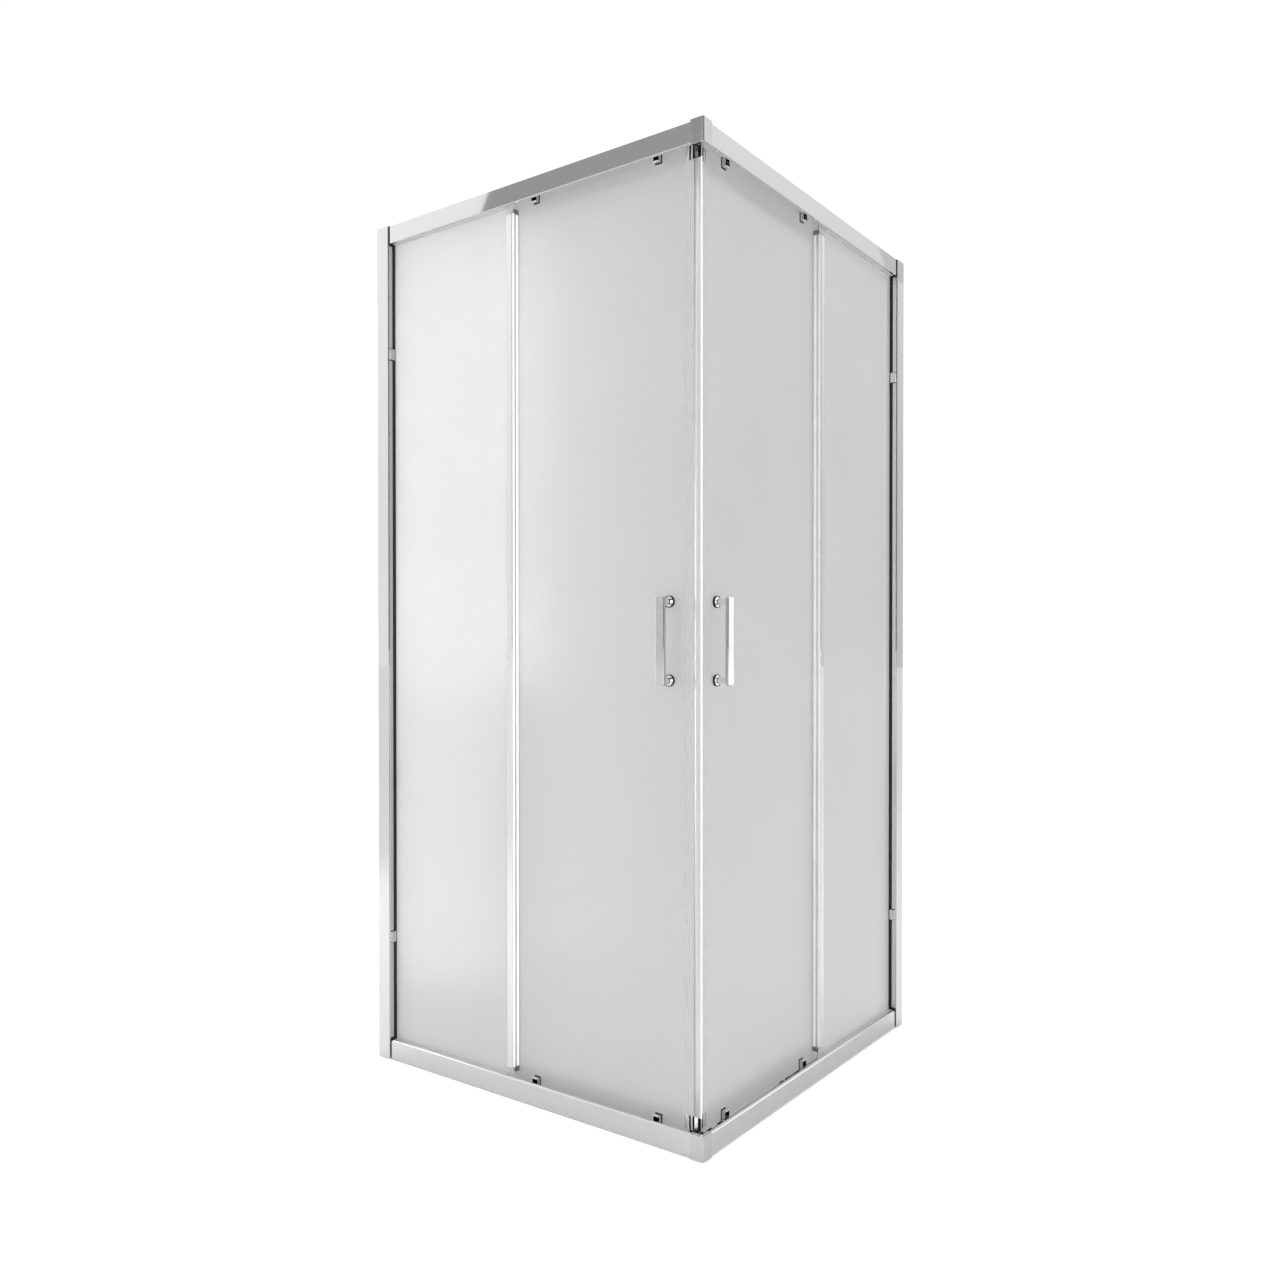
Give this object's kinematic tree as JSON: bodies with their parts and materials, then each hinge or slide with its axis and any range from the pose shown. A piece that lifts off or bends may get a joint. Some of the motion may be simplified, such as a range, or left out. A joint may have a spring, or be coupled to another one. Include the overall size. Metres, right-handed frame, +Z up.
{
  "type": "shower enclosure",
  "caption": "Square corner-entry shower enclosure: fixed satin glass panels and sliding glass doors that meet at the outer corner and run on sprung rollers in a metal frame.",
  "frame": {"origin": "middle of the square plan, on the floor that the enclosure stands on", "axes": "+Z up; the outer corner is at +X, -Y; the left hand side stands along -Y and meets a wall at -X, the right hand side stands along +X and meets a wall at +Y"},
  "size_m": [0.9, 0.9, 1.902],
  "materials": {
    "profile": "polished silver",
    "chrome": "bright",
    "satin_glass": "acid etched on one face",
    "clear_seal": "translucent",
    "black_rubber": "matt",
    "grey_plastic": "satin",
    "dark_plastic": "fine grained",
    "white_plastic": "smooth",
    "steel": "plain"
  },
  "bodies": {
    "frame": {"wall_profile_left": "profile", "wall_profile_right": "profile", "side_post_left": "profile", "side_post_right": "profile", "glazing_gasket_left": "black_rubber", "glazing_gasket_right": "black_rubber", "fixed_glass_left": "satin_glass", "fixed_glass_right": "satin_glass", "edge_profile_left": "profile", "edge_profile_right": "profile", "top_rail_left": "profile", "top_rail_right": "profile", "bottom_rail_left": "profile", "bottom_rail_right": "profile", "screw_covers": "grey_plastic", "edge_plugs": "dark_plastic", "door_stops": "black_rubber", "base_seals": "clear_seal", "frame_screws": "steel", "corner_brackets": "steel", "corner_cap_top": "chrome", "corner_cap_bottom": "chrome"},
    "door_left": {"door_glass_left": "satin_glass", "magnetic_seal_left": "clear_seal", "magnet_strip_left": "white_plastic", "rear_seal_left": "clear_seal", "handle_bar_left": "chrome", "handle_posts_left": "chrome", "handle_screws_left": "chrome", "door_pads_left": "black_rubber", "roller_caps_left": "chrome", "top_hangers_left": "steel", "bottom_guides_left": "dark_plastic", "release_spring_lead_left": "steel", "release_spring_trail_left": "steel"},
    "door_right": {"door_glass_right": "satin_glass", "magnetic_seal_right": "clear_seal", "magnet_strip_right": "white_plastic", "rear_seal_right": "clear_seal", "handle_bar_right": "chrome", "handle_posts_right": "chrome", "handle_screws_right": "chrome", "door_pads_right": "black_rubber", "roller_caps_right": "chrome", "top_hangers_right": "steel", "bottom_guides_right": "dark_plastic", "release_spring_lead_right": "steel", "release_spring_trail_right": "steel"},
    "release_slide_lead_left": {"release_slide_lead_left": "dark_plastic"},
    "top_wheel_lead_left": {"top_wheel_lead_left": "white_plastic"},
    "bottom_wheel_lead_left": {"bottom_wheel_lead_left": "white_plastic"},
    "release_slide_trail_left": {"release_slide_trail_left": "dark_plastic"},
    "top_wheel_trail_left": {"top_wheel_trail_left": "white_plastic"},
    "bottom_wheel_trail_left": {"bottom_wheel_trail_left": "white_plastic"},
    "release_slide_lead_right": {"release_slide_lead_right": "dark_plastic"},
    "top_wheel_lead_right": {"top_wheel_lead_right": "white_plastic"},
    "bottom_wheel_lead_right": {"bottom_wheel_lead_right": "white_plastic"},
    "release_slide_trail_right": {"release_slide_trail_right": "dark_plastic"},
    "top_wheel_trail_right": {"top_wheel_trail_right": "white_plastic"},
    "bottom_wheel_trail_right": {"bottom_wheel_trail_right": "white_plastic"}
  },
  "joints": [
    {"name": "door_left_slide", "type": "slide", "parent": "frame", "child": "door_left", "axis": [-1, 0, 0], "range_m": [0, 0.335]},
    {"name": "release_lead_left", "type": "slide", "parent": "door_left", "child": "release_slide_lead_left", "axis": [0, 0, -1], "range_m": [0, 0.005], "stiffness_N_per_m": 600, "springref_m": -0.004, "deforming": ["release_spring_lead_left"]},
    {"name": "top_wheel_lead_left_spin", "type": "hinge", "parent": "door_left", "child": "top_wheel_lead_left", "pos_m": [0.321, -0.3971, 1.885], "axis": [0, -1, 0], "continuous": true},
    {"name": "bottom_wheel_lead_left_spin", "type": "hinge", "parent": "release_slide_lead_left", "child": "bottom_wheel_lead_left", "pos_m": [0.321, -0.3971, 0.02], "axis": [0, 1, 0], "continuous": true},
    {"name": "release_trail_left", "type": "slide", "parent": "door_left", "child": "release_slide_trail_left", "axis": [0, 0, -1], "range_m": [0, 0.005], "stiffness_N_per_m": 600, "springref_m": -0.004, "deforming": ["release_spring_trail_left"]},
    {"name": "top_wheel_trail_left_spin", "type": "hinge", "parent": "door_left", "child": "top_wheel_trail_left", "pos_m": [0.008, -0.3971, 1.885], "axis": [0, -1, 0], "continuous": true},
    {"name": "bottom_wheel_trail_left_spin", "type": "hinge", "parent": "release_slide_trail_left", "child": "bottom_wheel_trail_left", "pos_m": [0.008, -0.3971, 0.02], "axis": [0, 1, 0], "continuous": true},
    {"name": "door_right_slide", "type": "slide", "parent": "frame", "child": "door_right", "axis": [0, 1, 0], "range_m": [0, 0.335]},
    {"name": "release_lead_right", "type": "slide", "parent": "door_right", "child": "release_slide_lead_right", "axis": [0, 0, -1], "range_m": [0, 0.005], "stiffness_N_per_m": 600, "springref_m": -0.004, "deforming": ["release_spring_lead_right"]},
    {"name": "top_wheel_lead_right_spin", "type": "hinge", "parent": "door_right", "child": "top_wheel_lead_right", "pos_m": [0.3971, -0.321, 1.885], "axis": [-1, 0, 0], "continuous": true},
    {"name": "bottom_wheel_lead_right_spin", "type": "hinge", "parent": "release_slide_lead_right", "child": "bottom_wheel_lead_right", "pos_m": [0.3971, -0.321, 0.02], "axis": [1, 0, 0], "continuous": true},
    {"name": "release_trail_right", "type": "slide", "parent": "door_right", "child": "release_slide_trail_right", "axis": [0, 0, -1], "range_m": [0, 0.005], "stiffness_N_per_m": 600, "springref_m": -0.004, "deforming": ["release_spring_trail_right"]},
    {"name": "top_wheel_trail_right_spin", "type": "hinge", "parent": "door_right", "child": "top_wheel_trail_right", "pos_m": [0.3971, -0.008, 1.885], "axis": [-1, 0, 0], "continuous": true},
    {"name": "bottom_wheel_trail_right_spin", "type": "hinge", "parent": "release_slide_trail_right", "child": "bottom_wheel_trail_right", "pos_m": [0.3971, -0.008, 0.02], "axis": [1, 0, 0], "continuous": true}
  ],
  "couplings": [
    {"joint": "top_wheel_lead_left_spin", "follows": "door_left_slide", "rad_per_m": 111.11},
    {"joint": "bottom_wheel_lead_left_spin", "follows": "door_left_slide", "rad_per_m": 158.73},
    {"joint": "top_wheel_trail_left_spin", "follows": "door_left_slide", "rad_per_m": 111.11},
    {"joint": "bottom_wheel_trail_left_spin", "follows": "door_left_slide", "rad_per_m": 158.73},
    {"joint": "top_wheel_lead_right_spin", "follows": "door_right_slide", "rad_per_m": 111.11},
    {"joint": "bottom_wheel_lead_right_spin", "follows": "door_right_slide", "rad_per_m": 158.73},
    {"joint": "top_wheel_trail_right_spin", "follows": "door_right_slide", "rad_per_m": 111.11},
    {"joint": "bottom_wheel_trail_right_spin", "follows": "door_right_slide", "rad_per_m": 158.73}
  ]
}
